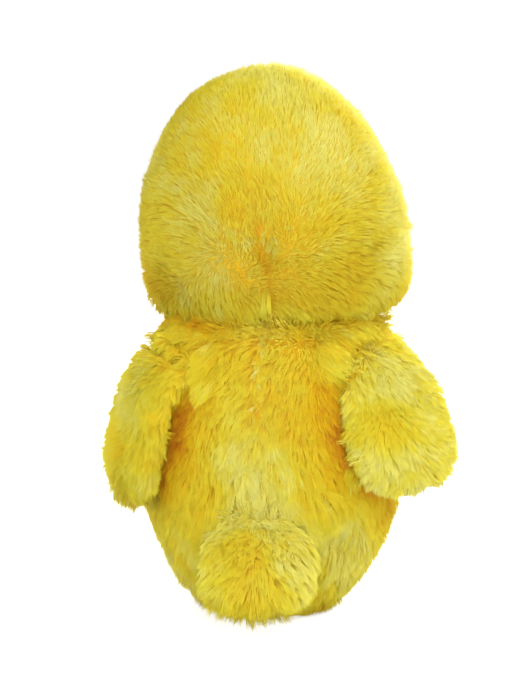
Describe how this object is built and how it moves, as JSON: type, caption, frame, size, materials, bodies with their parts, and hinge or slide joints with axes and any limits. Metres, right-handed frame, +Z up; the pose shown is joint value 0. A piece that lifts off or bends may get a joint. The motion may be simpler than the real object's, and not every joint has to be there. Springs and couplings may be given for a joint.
{
  "type": "plush duckling toy",
  "caption": "Seated long-pile plush duckling with a rounded head, floppy wings, a tail, webbed feet and a soft bill.",
  "frame": {"origin": "middle of the flat seat, on the surface that the toy sits on", "axes": "+Z up through the head, -Y towards the face, +X towards the toy's own left wing"},
  "size_m": [0.1641, 0.1788, 0.27],
  "materials": {
    "fur": "long yellow pile with darker golden roots",
    "fleece": "short brushed orange fleece",
    "filling": "loose white polyester fibre",
    "cotton": "plain woven cotton",
    "eye": "polished",
    "washer": "moulded, milky"
  },
  "bodies": {
    "torso": {"body_cover": "fur", "pellet_pouch": "cotton", "body_filling": "filling", "head_cover": "fur", "head_filling": "filling", "eye_left": "eye", "eye_washer_left": "washer", "eye_right": "eye", "eye_washer_right": "washer", "bill_upper_cover": "fleece", "bill_upper_filling": "filling", "bill_lower": "fleece"},
    "wing_left": {"wing_left_cover": "fur", "wing_left_filling": "filling"},
    "wing_right": {"wing_right_cover": "fur", "wing_right_filling": "filling"},
    "tail": {"tail_cover": "fur", "tail_filling": "filling"},
    "foot_left": {"foot_left_top": "fleece", "foot_left_filling": "filling", "foot_left_sole": "fleece"},
    "foot_right": {"foot_right_top": "fleece", "foot_right_filling": "filling", "foot_right_sole": "fleece"}
  },
  "joints": [
    {"name": "wing_left_lift", "type": "hinge", "parent": "torso", "child": "wing_left", "pos_m": [0.03908, 0.0296, 0.14439], "axis": [0.3785, -0.7991, 0.4672], "range_deg": [0, 45]},
    {"name": "wing_right_lift", "type": "hinge", "parent": "torso", "child": "wing_right", "pos_m": [-0.03998, 0.02668, 0.14634], "axis": [0.2799, 0.8345, -0.4746], "range_deg": [0, 45]},
    {"name": "tail_lift", "type": "hinge", "parent": "torso", "child": "tail", "pos_m": [0.006, 0.05541, 0.071], "axis": [1, 0, 0], "range_deg": [0, 35]},
    {"name": "foot_left_lift", "type": "hinge", "parent": "torso", "child": "foot_left", "pos_m": [0.021, -0.032, 0.014], "axis": [-1, 0, 0], "range_deg": [0, 50]},
    {"name": "foot_right_lift", "type": "hinge", "parent": "torso", "child": "foot_right", "pos_m": [-0.021, -0.032, 0.014], "axis": [-1, 0, 0], "range_deg": [0, 50]}
  ]
}
